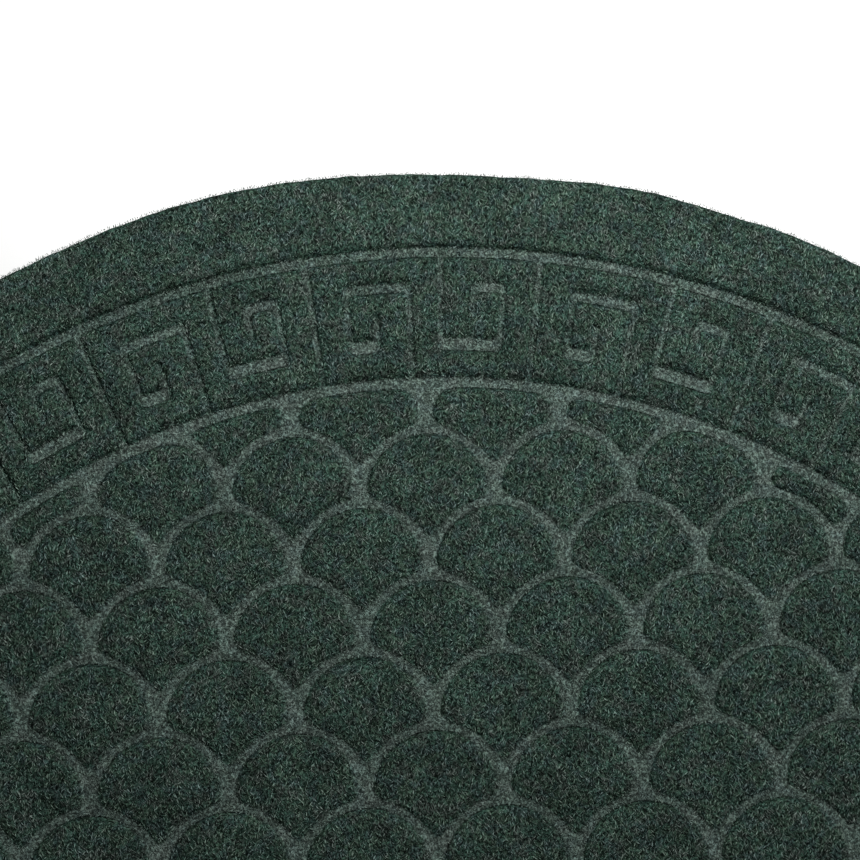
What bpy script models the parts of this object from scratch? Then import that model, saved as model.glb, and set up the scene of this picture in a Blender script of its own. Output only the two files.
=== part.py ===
"""Half-round doormat: one sheet of needle-punched felt with a pattern pressed into its upper face.

Metres, +Z up. The origin is on the floor, under the middle of the mat's bounding box. +X runs along
the straight edge and +Y runs to the crown of the half-round edge. The mat is drawn around the centre
of its arcs, which is the middle of the straight edge, and is then moved to that origin.

Everything raised is felt at full thickness, and every line between is pressed to one floor. A raised
land has a foot loop on that floor and a top loop on the upper face, and its wall leans between them.
"""

import math

import bmesh
import bpy
from mathutils import Vector

MM = 0.001

# The sheet
RADIUS = 375 * MM
THICKNESS = 7 * MM
EDGE_ROUND = 1.2 * MM
CORNER = 8 * MM

# The cut edge wavers: degrees from the crown, and millimetres out of round, at each crest and dip
EDGE_WAVER = (
    (-90, 0.0),
    (-79, 0.5),
    (-67, -0.7),
    (-53, 0.6),
    (-42, 0.1),
    (-25, -0.6),
    (-13, 1.1),
    (5, -1.4),
    (14, 0.5),
    (19, -0.5),
    (22.5, 0.0),
    (28, -0.8),
    (41, 0.5),
    (56, -0.6),
    (69, 0.6),
    (80, -0.3),
    (90, 0.0),
)
STRAIGHT_WAVER = 0.6 * MM
STRAIGHT_WAVES = 3

# The pressed lines: how deep they are, how far their walls lean, and how wide their flat floors are
DEPTH = 1.8 * MM
WALL_RUN = 1.0 * MM
ARC_LINE = 3.8 * MM
KEY_BAR = 3.8 * MM
KEY_LOW_BAR = 4.8 * MM
KEY_UPRIGHT = 2.2 * MM
SCALE_LINE = 3.4 * MM
LINE_CORNER = 3.5 * MM

# The rim and the key band, between the middles of their lines
RIM = 32.2 * MM
BAND = 51.5 * MM
KEY_CELLS = 11
KEY_PERIOD = math.radians(15.6)

# How far the press stood off the middle of the sheet
PRESS_SHIFT = Vector((0.9, -0.3)) * MM

# The turns of the two hooks in a key cell, from root to tip. across is a share of the cell from its
# left line, and up is a share of the band from its inner line
HOOKS = {
    "rising": (
        (0.435, 0.000),
        (0.435, 0.734),
        (0.157, 0.734),
        (0.157, 0.292),
        (0.281, 0.292),
        (0.281, 0.534),
    ),
    "hanging": (
        (0.575, 1.000),
        (0.575, 0.290),
        (0.850, 0.290),
        (0.850, 0.734),
        (0.719, 0.734),
        (0.719, 0.500),
    ),
}

# How wide each hook is run by run, from root to tip
HOOK_WIDTHS = {
    "rising": (KEY_UPRIGHT, KEY_BAR, KEY_UPRIGHT, KEY_LOW_BAR, KEY_UPRIGHT),
    "hanging": (KEY_UPRIGHT, KEY_LOW_BAR, KEY_UPRIGHT, KEY_BAR, KEY_UPRIGHT),
}

# The fish scales: half discs in rows, each row covering the tips of the row above it. The first whole
# row is counted from the crown, and rows above it show only where they pass inside the inner line
SCALE_PITCH = 52 * MM
SCALE_ROW = 28.3 * MM
SCALE_ARC = 25.6 * MM
FIRST_APEX_DROP = 18.6 * MM
SCALE_BLEND = 2.2 * MM
LEAST_LAND = 2.0 * MM
PARTIAL_ROWS = 2

# How finely the curves are stepped
ARC_STEPS = 64
CORNER_STEPS = 3
STRAIGHT_STEPS = 18
KEY_STEP = 20 * MM
SCALE_RAYS = 120
SCALE_CHORD = 0.40 * MM
SEARCH_STEPS = 26
REACH_TOLERANCE = 0.01 * MM
SHARP_ANGLE = math.radians(30)

FELT_COLOUR = (0.034, 0.053, 0.046, 1.0)
FELT_ROUGHNESS = 0.95

OUTER_LINE = RADIUS - RIM
INNER_LINE = OUTER_LINE - BAND
BAND_MIDDLE = (OUTER_LINE + INNER_LINE) / 2
CELL_WIDTH = BAND_MIDDLE * KEY_PERIOD
STRAIGHT_LINE = BAND_MIDDLE * math.sin((math.pi - KEY_CELLS * KEY_PERIOD) / 2)
FLOOR = THICKNESS - DEPTH


def clear_scene():
    """Removes whatever the file holds."""
    for obj in list(bpy.data.objects):
        bpy.data.objects.remove(obj, do_unlink=True)


def steps(start, end, count):
    """Evenly spaced values from start to end, both among them."""
    return [start + (end - start) * k / count for k in range(count + 1)]


def on_arc(radius, angle):
    """The point at this radius and this angle from the crown, clockwise."""
    return Vector((radius * math.sin(angle), radius * math.cos(angle)))


def edge_waver(angle):
    """How far the cut edge stands out of round at this angle from the crown."""
    degrees = math.degrees(angle)
    for (start, low), (end, high) in zip(EDGE_WAVER, EDGE_WAVER[1:]):
        if start <= degrees <= end:
            share = (degrees - start) / (end - start)
            return MM * (low + (high - low) * share * share * (3 - 2 * share))
    return 0.0


def straight_waver(share):
    """How far the straight edge is drawn in at this share of its length."""
    return STRAIGHT_WAVER * (1 - math.cos(2 * math.pi * STRAIGHT_WAVES * share)) / 2


def half_round(radius, base, corner, wavers=False):
    """A loop round a half disc, anticlockwise: its arc, its straight side and two rounded corners."""
    lift = base + corner
    side = math.sqrt((radius - corner) ** 2 - lift**2)
    turn = math.atan2(side, lift)
    loop = []
    for angle in steps(-turn, turn, ARC_STEPS):
        loop.append(on_arc(radius + (edge_waver(angle) if wavers else 0.0), angle))
    for angle in steps(turn, math.pi, CORNER_STEPS)[1:]:
        loop.append(Vector((side, lift)) + on_arc(corner, angle))
    for share in steps(0, 1, STRAIGHT_STEPS)[1:-1]:
        rise = straight_waver(share) if wavers else 0.0
        loop.append(Vector((side * (1 - 2 * share), base + rise)))
    for angle in steps(-math.pi, -turn, CORNER_STEPS)[:-1]:
        loop.append(Vector((-side, lift)) + on_arc(corner, angle))
    return loop[::-1]


def off_middle(loop):
    """Moves a loop of the pattern to where it was pressed."""
    return [point + PRESS_SHIFT for point in loop]


def around_line(line, widths, back):
    """The outline of a pressed line of square turns, up its left side, round its tip and back."""
    left = []
    right = []
    runs = [(after - before).normalized() for before, after in zip(line, line[1:])]
    for k, point in enumerate(line):
        shift = Vector((0, 0))
        for number in range(max(k - 1, 0), min(k + 1, len(runs))):
            run = runs[number]
            shift += Vector((-run.y, run.x)) * (widths[number] / 2 + back)
        left.append(point + shift)
        right.append(point - shift)
    return left + right[::-1]


def divided(loop, counts):
    """The loop with each of its runs cut into this many parts."""
    points = []
    for start, end, count in zip(loop, loop[1:] + loop[:1], counts):
        points += [start.lerp(end, k / count) for k in range(count)]
    return points


def cell_line(index, radius):
    """The angle from the crown of the line before this cell. The end lines run straight."""
    if index in (0, KEY_CELLS):
        return math.copysign(math.acos(STRAIGHT_LINE / radius), index - 0.5)
    return (index - KEY_CELLS / 2) * KEY_PERIOD


def key_outline(back):
    """A key cell's land laid out straight, its edge taken back this far from the floor of its lines."""
    upright = KEY_UPRIGHT / 2 + back
    low = ARC_LINE / 2 + back
    high = BAND - low
    hooks = {}
    for name, turns in HOOKS.items():
        line = [Vector((across * CELL_WIDTH, min(max(up * BAND, low), high))) for across, up in turns]
        hooks[name] = around_line(line, HOOK_WIDTHS[name], back)
    loop = [Vector((upright, low))] + hooks["rising"]
    loop += [Vector((CELL_WIDTH - upright, low)), Vector((CELL_WIDTH - upright, high))]
    return loop + hooks["hanging"] + [Vector((upright, high))]


def bent(index, loop):
    """Bends a cell's straight layout round to its place in the band."""
    placed = []
    for point in loop:
        radius = INNER_LINE + point.y
        before = cell_line(index, radius)
        after = cell_line(index + 1, radius)
        placed.append(on_arc(radius, before + (after - before) * point.x / CELL_WIDTH))
    return placed


def key_land(index):
    """The foot loop and the top loop of one key cell."""
    foot = key_outline(0.0)
    top = key_outline(WALL_RUN)
    runs = [abs(end.x - start.x) for start, end in zip(foot, foot[1:] + foot[:1])]
    counts = [max(1, round(run / KEY_STEP)) for run in runs]
    return bent(index, divided(foot, counts)), bent(index, divided(top, counts))


def scale_depth(point, apex):
    """How deep a point lies in the land of the scale with this apex. The blend rounds its corners."""
    middle = apex - Vector((0, SCALE_ARC))
    half = SCALE_LINE / 2
    depths = [SCALE_ARC - half - (point - middle).length]
    for side in (-1, 1):
        below = middle + Vector((side * SCALE_PITCH / 2, -SCALE_ROW))
        depths.append((point - below).length - SCALE_ARC - half)
    depths.append(INNER_LINE - ARC_LINE / 2 - point.length)
    depths.append(point.y - STRAIGHT_LINE - ARC_LINE / 2)
    return -SCALE_BLEND * math.log(sum(math.exp(-depth / SCALE_BLEND) for depth in depths))


def deepest(apex):
    """The point of a scale that lies furthest inside its land."""
    spots = steps(-SCALE_ARC, SCALE_ARC, SEARCH_STEPS)
    middle = apex - Vector((0, SCALE_ARC))
    places = [middle + Vector((x, y)) for x in spots for y in spots]
    return max(places, key=lambda place: scale_depth(place, apex))


def reached(start, direction, apex, level):
    """Walks out along a ray, by the depth still left, to where the land is this deep."""
    travel = 0.0
    left = scale_depth(start, apex) - level
    while left > REACH_TOLERANCE:
        travel += left
        left = scale_depth(start + direction * travel, apex) - level
    return start + direction * travel


def kept(loop, within):
    """The numbers of the points that hold a loop's shape to within this distance."""
    count = len(loop)
    far = max(range(count), key=lambda k: (loop[k] - loop[0]).length)
    numbers = {0, far}
    stretches = [(0, far), (far, count)]
    while stretches:
        first, last = stretches.pop()
        chord = (loop[last % count] - loop[first]).normalized()
        offsets = [(abs(chord.cross(loop[k] - loop[first])), k) for k in range(first + 1, last)]
        off, number = max(offsets, default=(0.0, first))
        if off > within:
            numbers.add(number)
            stretches += [(first, number), (number, last)]
    return sorted(numbers)


def scale_land(apex):
    """The foot loop and the top loop of one scale, or None where its land would be too small."""
    start = deepest(apex)
    if scale_depth(start, apex) < LEAST_LAND:
        return None
    rays = [on_arc(1.0, -angle) for angle in steps(0, 2 * math.pi, SCALE_RAYS)[:-1]]
    foot = [reached(start, ray, apex, 0.0) for ray in rays]
    top = [reached(start, ray, apex, WALL_RUN) for ray in rays]
    numbers = kept(foot, SCALE_CHORD)
    return [foot[k] for k in numbers], [top[k] for k in numbers]


def scale_apexes():
    """The apex of every scale that can reach the field inside the band."""
    first = INNER_LINE - FIRST_APEX_DROP
    rows = range(-PARTIAL_ROWS, math.ceil(first / SCALE_ROW) + 1)
    columns = math.ceil(INNER_LINE / SCALE_PITCH) + 1
    for row in rows:
        for column in range(-columns, columns + 1):
            yield Vector(((column + (row % 2) / 2) * SCALE_PITCH, first - row * SCALE_ROW))


def add_loop(mesh, loop, height):
    """Adds a loop's points at one height."""
    return [mesh.verts.new((point.x, point.y, height)) for point in loop]


def add_wall(mesh, lower, upper):
    """Joins two loops of as many points, facing out of an anticlockwise pair."""
    for k in range(len(lower)):
        after = (k + 1) % len(lower)
        mesh.faces.new((lower[k], lower[after], upper[after], upper[k]))


def add_land(mesh, foot, top):
    """Adds one raised land and gives back the loop round its foot."""
    lower = add_loop(mesh, off_middle(foot), FLOOR)
    upper = add_loop(mesh, off_middle(top), THICKNESS)
    add_wall(mesh, lower, upper)
    mesh.faces.new(upper)
    return lower


def add_sheet(mesh):
    """Adds the underside, the cut edge and the rim, and gives back the loop round the pressed floor."""
    outline = half_round(RADIUS, 0.0, CORNER, wavers=True)
    shoulder = half_round(RADIUS - EDGE_ROUND, EDGE_ROUND, CORNER - EDGE_ROUND, wavers=True)
    half = ARC_LINE / 2
    wide = half + WALL_RUN
    brink = half_round(OUTER_LINE + wide, STRAIGHT_LINE - wide, LINE_CORNER + WALL_RUN)
    foot = half_round(OUTER_LINE + half, STRAIGHT_LINE - half, LINE_CORNER)
    under = add_loop(mesh, outline, 0.0)
    side = add_loop(mesh, outline, THICKNESS - EDGE_ROUND)
    rim_outer = add_loop(mesh, shoulder, THICKNESS)
    rim_inner = add_loop(mesh, off_middle(brink), THICKNESS)
    pressed = add_loop(mesh, off_middle(foot), FLOOR)
    mesh.faces.new(under[::-1])
    add_wall(mesh, under, side)
    add_wall(mesh, side, rim_outer)
    add_wall(mesh, rim_outer, rim_inner)
    add_wall(mesh, rim_inner, pressed)
    return pressed


def fill_floor(mesh, loops):
    """Fills the pressed floor between the rim and every land."""
    edges = []
    for loop in loops:
        edges += [mesh.edges.get((loop[k - 1], loop[k])) for k in range(len(loop))]
    made = bmesh.ops.triangle_fill(mesh, use_beauty=True, use_dissolve=False, edges=edges, normal=(0, 0, 1))
    for face in made["geom"]:
        if isinstance(face, bmesh.types.BMFace) and face.normal.z < 0:
            face.normal_flip()


def felt():
    """Dark green felt."""
    material = bpy.data.materials.new("felt")
    material.use_nodes = True
    shader = material.node_tree.nodes["Principled BSDF"]
    shader.inputs["Base Color"].default_value = FELT_COLOUR
    shader.inputs["Roughness"].default_value = FELT_ROUGHNESS
    shader.inputs["Metallic"].default_value = 0.0
    return material


def centred(mesh):
    """Moves the mat from the centre of its arcs to the middle of its bounding box."""
    depths = [point.co.y for point in mesh.verts]
    bmesh.ops.translate(mesh, vec=(0, -(min(depths) + max(depths)) / 2, 0), verts=mesh.verts)


def build_mat():
    """Makes the mat's object."""
    mesh = bmesh.new()
    loops = [add_sheet(mesh)]
    for index in range(KEY_CELLS):
        loops.append(add_land(mesh, *key_land(index)))
    for apex in scale_apexes():
        land = scale_land(apex)
        if land:
            loops.append(add_land(mesh, *land))
    fill_floor(mesh, loops)
    centred(mesh)
    data = bpy.data.meshes.new("mat")
    mesh.to_mesh(data)
    mesh.free()
    data.materials.append(felt())
    data.shade_smooth()
    data.set_sharp_from_angle(angle=SHARP_ANGLE)
    mat = bpy.data.objects.new("mat", data)
    bpy.context.scene.collection.objects.link(mat)
    return mat


clear_scene()
build_mat()
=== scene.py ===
"""Looks of the half-round doormat: needle-punched felt with a pattern pressed into its upper face.

The felt sheet is built from the same named sizes as the solid that it stands for, with finer loops and
soft shoulders. The nap on it is many short bent strands, which lie over the sheet and stand out of its
cut edge. Everything is in metres, with +X along the straight edge and +Y to the crown.
"""

import logging
import math
from collections.abc import Callable, Iterator, Sequence
from dataclasses import dataclass, field
from enum import Enum

import bmesh
import bpy
import numpy as np
from bmesh.types import BMesh, BMVert
from bpy.types import Material, Mesh, Node, NodeSocket, Object, ShaderNodeTree
from mathutils import Matrix, Vector
from mathutils.bvhtree import BVHTree
from mathutils.interpolate import poly_3d_calc


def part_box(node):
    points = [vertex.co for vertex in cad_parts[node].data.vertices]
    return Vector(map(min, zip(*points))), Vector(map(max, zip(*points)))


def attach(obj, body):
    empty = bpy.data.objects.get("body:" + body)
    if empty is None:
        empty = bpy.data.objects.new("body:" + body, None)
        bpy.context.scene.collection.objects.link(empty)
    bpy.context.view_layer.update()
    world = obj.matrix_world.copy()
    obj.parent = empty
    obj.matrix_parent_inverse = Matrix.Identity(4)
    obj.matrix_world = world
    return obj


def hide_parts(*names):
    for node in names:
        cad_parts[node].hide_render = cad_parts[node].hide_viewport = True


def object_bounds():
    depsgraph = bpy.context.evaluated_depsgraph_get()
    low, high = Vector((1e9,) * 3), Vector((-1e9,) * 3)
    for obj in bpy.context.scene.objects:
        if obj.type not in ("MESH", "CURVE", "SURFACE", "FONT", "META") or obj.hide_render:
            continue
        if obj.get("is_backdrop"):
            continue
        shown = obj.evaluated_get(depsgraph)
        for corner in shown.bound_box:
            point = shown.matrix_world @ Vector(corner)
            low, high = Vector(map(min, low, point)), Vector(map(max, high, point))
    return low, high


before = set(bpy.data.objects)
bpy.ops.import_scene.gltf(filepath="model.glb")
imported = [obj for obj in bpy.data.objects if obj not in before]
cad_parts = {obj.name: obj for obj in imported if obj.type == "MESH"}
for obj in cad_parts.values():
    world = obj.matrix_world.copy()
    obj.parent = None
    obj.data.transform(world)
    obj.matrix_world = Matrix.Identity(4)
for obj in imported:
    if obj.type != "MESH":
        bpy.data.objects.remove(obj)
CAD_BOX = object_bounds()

log = logging.getLogger("doormat")

MM = 0.001
NODE = "mat"
DOWN = Vector((0, 0, -1))

Colour = tuple[float, float, float]
Place = tuple[float, float, float]
Span = tuple[float, float]
Loop = list[Vector]
Depth = Callable[[Vector], float]
Unevenness = Callable[[float], float]
# How many steps the arc, each corner and the straight side of a half-round loop take
Fineness = tuple[int, int, int]


class Zone(Enum):
    """The parts of the mat's face that carry a nap of their own."""

    RIM = "rim"
    KEY_BAND = "key_band"
    SCALES_LEFT = "scales_left"
    SCALES_MIDDLE = "scales_middle"
    SCALES_RIGHT = "scales_right"


def steps(start: float, end: float, count: int) -> list[float]:
    """Spaces values evenly from start to end, both among them, with count steps between."""
    return [start + (end - start) * k / count for k in range(count + 1)]


def eased(share: float) -> float:
    """Eases a share in and out, from 0 to 1."""
    return share * share * (3 - 2 * share)


def in_mm(*values: float) -> tuple[float, ...]:
    """Gives lengths that are written in millimetres."""
    return tuple(value * MM for value in values)


def on_arc(radius: float, angle: float) -> Vector:
    """Finds the point at a radius from the centre and an angle from the crown, in radians clockwise."""
    return Vector((radius * math.sin(angle), radius * math.cos(angle)))


def no_waver(_: float) -> float:
    """Gives no unevenness, for a line that runs true."""
    return 0.0


def half_round(radius: float, base: float, corner: float, fineness: Fineness,
               wavered: Unevenness = no_waver, drawn_in: Unevenness = no_waver) -> Loop:
    """Draws a half disc: its arc, its straight side and its two rounded corners.

    Args:
        radius: the arc's radius.
        base: how far the straight side lies above the arc's centre.
        corner: the radius of the two corners.
        fineness: how finely it is stepped.
        wavered: gives the arc's distance out of round at an angle.
        drawn_in: gives the straight side's unevenness at a share of its length.

    Returns:
        The loop's points, anticlockwise.
    """
    arc_steps, corner_steps, straight_steps = fineness
    lift = base + corner
    side = math.sqrt((radius - corner) ** 2 - lift**2)
    turn = math.atan2(side, lift)
    loop = [on_arc(radius + wavered(angle), angle) for angle in steps(-turn, turn, arc_steps)]
    for angle in steps(turn, math.pi, corner_steps)[1:]:
        loop.append(Vector((side, lift)) + on_arc(corner, angle))
    for share in steps(0, 1, straight_steps)[1:-1]:
        loop.append(Vector((side * (1 - 2 * share), base + drawn_in(share))))
    for angle in steps(-math.pi, -turn, corner_steps)[:-1]:
        loop.append(Vector((-side, lift)) + on_arc(corner, angle))
    return loop[::-1]


def placed(made: Object) -> Object:
    """Puts a new object in the scene."""
    bpy.context.scene.collection.objects.link(made)
    return made


def dressed(name: str, data: Mesh, material: Material) -> Object:
    """Makes a piece with its finish and body.

    Args:
        name: the piece's name.
        data: its mesh.
        material: its material.

    Returns:
        The piece.
    """
    piece = placed(bpy.data.objects.new(name, data))
    data.materials.append(material)
    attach(piece, "root")
    return piece


@dataclass(frozen=True)
class CutOutline:
    """The half-round outline to which the sheet is cut, drawn about the centre of its arc."""

    radius: float = 375 * MM
    corner: float = 8 * MM
    least_corner: float = 1 * MM
    # Degrees from the crown, and millimetres out of round, at each crest and dip of the cut edge
    waver: tuple[Span, ...] = (
        (-90, 0.0), (-79, 0.5), (-67, -0.7), (-53, 0.6), (-42, 0.1), (-25, -0.6),
        (-13, 1.1), (5, -1.4), (14, 0.5), (19, -0.5), (22.5, 0.0), (28, -0.8),
        (41, 0.5), (56, -0.6), (69, 0.6), (80, -0.3), (90, 0.0),
    )
    straight_waver: float = 0.6 * MM
    straight_waves: int = 3
    # Small unevenness from the cutting: waves along the arc, and how far each stands out
    ragged: tuple[Span, ...] = ((97, 0.10 * MM), (171, 0.08 * MM), (293, 0.06 * MM))
    # How far inside the edge the small unevenness ends
    ragged_depth: float = 3 * MM
    fineness: Fineness = (480, 6, 120)

    def arc_waver(self, angle: float) -> float:
        """Finds how far the arc stands out of round.

        Args:
            angle: the angle from the crown in radians.

        Returns:
            The distance outwards.
        """
        degrees = math.degrees(angle)
        for (start, low), (end, high) in zip(self.waver, self.waver[1:]):
            if start <= degrees <= end:
                return MM * (low + (high - low) * eased((degrees - start) / (end - start)))
        return 0.0

    def arc_ragged(self, angle: float) -> float:
        """Finds how far the small unevenness of the cut stands out at an angle."""
        return sum(out * math.sin(waves * angle + waves) for waves, out in self.ragged)

    def drawn_in(self, share: float) -> float:
        """Finds how far the straight edge is drawn in at a share of its length."""
        return self.straight_waver * (1 - math.cos(2 * math.pi * self.straight_waves * share)) / 2

    def loop(self, back: float) -> Loop:
        """Draws the outline, taken back from the cut edge.

        Args:
            back: how far inside the cut edge it runs.

        Returns:
            The outline's points, anticlockwise.
        """
        fade = max(0.0, 1 - back / self.ragged_depth)

        def wavered(angle: float) -> float:
            """Finds the arc's whole unevenness at an angle."""
            return self.arc_waver(angle) + fade * self.arc_ragged(angle)

        corner = max(self.corner - back, self.least_corner)
        return half_round(self.radius - back, back, corner, self.fineness, wavered, self.drawn_in)


@dataclass(frozen=True)
class WallPoint:
    """A wall's point in space, and its pressing, with painted light and shade: 1 on the floor of a line."""

    place: Vector
    pressed: float


Wall = list[WallPoint]


@dataclass(frozen=True)
class Hook:
    """One pressed hook of a key cell: its turns from root to tip, and how wide its two bars are."""

    # Shares of the cell's width and of the band's height
    turns: tuple[Span, ...]
    long_bar: float
    short_bar: float


@dataclass(frozen=True)
class KeyCell:
    """One cell of the key band: a land between two uprights, with two hooks pressed into it."""

    cells: int = 11
    period: float = math.radians(15.6)
    upright: float = 2.2 * MM
    outer_corner: float = 1.2 * MM
    inner_corner: float = 2.4 * MM
    least_corner: float = 0.25 * MM
    # The share of a run that a corner's radius may take up
    corner_room: float = 0.45
    corner_steps: int = 3
    run_step: float = 4.0 * MM
    # A run across a hook's tip is shorter than this
    tip_run: float = 3.25 * MM
    # How much narrower the slopes are here than beside the scales
    squeeze: float = 0.88
    rising: Hook = Hook(
        ((0.435, 0.000), (0.435, 0.734), (0.157, 0.734), (0.157, 0.292), (0.281, 0.292), (0.281, 0.534)),
        long_bar=3.8 * MM, short_bar=4.8 * MM,
    )
    hanging: Hook = Hook(
        ((0.575, 1.000), (0.575, 0.290), (0.850, 0.290), (0.850, 0.734), (0.719, 0.734), (0.719, 0.500)),
        long_bar=4.8 * MM, short_bar=3.8 * MM,
    )

    def around(self, hook: Hook, line: Loop, back: float) -> Loop:
        """Outlines a pressed hook, up its left side, round its tip and back.

        Args:
            hook: the hook.
            line: its turns, from root to tip.
            back: how far the outline lies outside the hook's floor.

        Returns:
            The outline's points.
        """
        line = line[:-1] + [line[-1] + (line[-1] - line[-2]).normalized() * back]
        widths = (self.upright, hook.long_bar, self.upright, hook.short_bar, self.upright)
        runs = [(after - before).normalized() for before, after in zip(line, line[1:])]
        sides = [Vector((-run.y, run.x)) * (width / 2 + back) for run, width in zip(runs, widths)]
        shifts = [sides[0], *(before + after for before, after in zip(sides, sides[1:])), sides[-1]]
        left, right = ([point + shift * way for point, shift in zip(line, shifts)] for way in (1, -1))
        return left + right[::-1]

    def outline(self, width: float, height: float, arc_line: float, back: float) -> Loop:
        """Draws the cell's land laid out straight.

        Args:
            width: the cell's width.
            height: the band's height.
            arc_line: the width of the lines above and below the band.
            back: how far the land's edge is taken back from the floor of its lines.

        Returns:
            The land's square corners, anticlockwise.
        """
        side = self.upright / 2 + back
        low = arc_line / 2 + back
        high = height - low
        hooks = []
        for hook in (self.rising, self.hanging):
            line = [Vector((across * width, min(max(up * height, low), high))) for across, up in hook.turns]
            hooks.append(self.around(hook, line, back))
        loop = [Vector((side, low))] + hooks[0] + [Vector((width - side, low)), Vector((width - side, high))]
        return loop + hooks[1] + [Vector((side, high))]

    def runs(self, foot: Loop) -> list[tuple[int, float]]:
        """Looks at each run of the land's foot.

        Args:
            foot: the land's square corners at the floor.

        Returns:
            For each run, into how many parts it is cut, and 1 where it lies beside an upright.
        """
        found = []
        for before, after in zip(foot, foot[1:] + foot[:1]):
            run = after - before
            beside = abs(run.y) > abs(run.x) or run.length < self.tip_run
            found.append((max(1, round(run.length / self.run_step)), float(beside)))
        return found

    def rounded(self, loop: Loop, runs: Sequence[tuple[int, float]],
                back: float) -> list[tuple[Vector, float]]:
        """Rounds a land's square corners and steps its runs.

        Args:
            loop: the square corners, anticlockwise.
            runs: what runs() gives.
            back: how far the loop is taken back from the floor of the lines.

        Returns:
            The land's points, each with how far it belongs to an upright.
        """
        arcs = []
        for k, corner in enumerate(loop):
            before, after = loop[k - 1], loop[(k + 1) % len(loop)]
            come = (corner - before).normalized()
            go = (after - corner).normalized()
            wanted = self.outer_corner - back if come.cross(go) > 0 else self.inner_corner + back
            room = self.corner_room * min((corner - before).length, (after - corner).length)
            radius = min(max(wanted, self.least_corner), room)
            start = corner - come * radius
            end = corner + go * radius
            middle = start + end - corner
            arc = []
            for share in steps(0, 1, self.corner_steps):
                angle = share * math.pi / 2
                place = middle + (start - middle) * math.cos(angle) + (end - middle) * math.sin(angle)
                arc.append((place, runs[k - 1][1] * (1 - share) + runs[k][1] * share))
            arcs.append(arc)
        points = []
        for arc, following, (count, beside) in zip(arcs, arcs[1:] + arcs[:1], runs):
            points += arc
            points += [(arc[-1][0].lerp(following[0][0], k / count), beside) for k in range(1, count)]
        return points


@dataclass(frozen=True)
class FishScale:
    """One scale of the field: a half disc whose lower side is cut by the two scales below it."""

    pitch: float = 52 * MM
    row: float = 28.3 * MM
    arc: float = 25.8 * MM
    line: float = 3.1 * MM
    # How softly the corners of the land are rounded
    blend: float = 2.3 * MM
    least_land: float = 2.0 * MM
    # The share of a small land's depth that its slopes may take up
    slope_room: float = 0.8
    rays: int = 240
    # How far a thinned loop may run off the fine one
    chord: float = 0.05 * MM
    search_steps: int = 26
    tolerance: float = 0.01 * MM

    def deepest(self, apex: Vector, depth: Depth) -> Vector:
        """Finds the point of the scale with this apex that lies furthest inside its land."""
        spots = steps(-self.arc, self.arc, self.search_steps)
        return max((apex - Vector((0, self.arc)) + Vector((x, y)) for x in spots for y in spots), key=depth)

    def reached(self, start: Vector, ray: Vector, travel: float, level: float, depth: Depth) -> float:
        """Walks out along a ray, by the depth still left, to where the land is this deep.

        Args:
            start: where the ray starts.
            ray: its direction.
            travel: how far along it the walk starts.
            level: the depth to reach.
            depth: gives a point's depth in the land.

        Returns:
            The distance along the ray.
        """
        while (left := depth(start + ray * travel) - level) > self.tolerance:
            travel += left
        return travel

    def kept(self, loop: Loop) -> list[int]:
        """Picks the points that hold a loop's shape.

        Args:
            loop: the points of a fine loop.

        Returns:
            The numbers of the points that are kept.
        """
        count = len(loop)
        far = max(range(count), key=lambda k: (loop[k] - loop[0]).length)
        numbers = {0, far}
        stretches = [(0, far), (far, count)]
        while stretches:
            first, last = stretches.pop()
            chord = (loop[last % count] - loop[first]).normalized()
            offsets = [(abs(chord.cross(loop[k] - loop[first])), k) for k in range(first + 1, last)]
            off, number = max(offsets, default=(0.0, first))
            if off > self.chord:
                numbers.add(number)
                stretches += [(first, number), (number, last)]
        return sorted(numbers)


@dataclass(frozen=True)
class Side:
    """One way for a land to rise from a line: its heights, and its pressing and painted light at each."""

    lifts: tuple[float, ...]
    pressed: tuple[float, ...]


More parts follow.
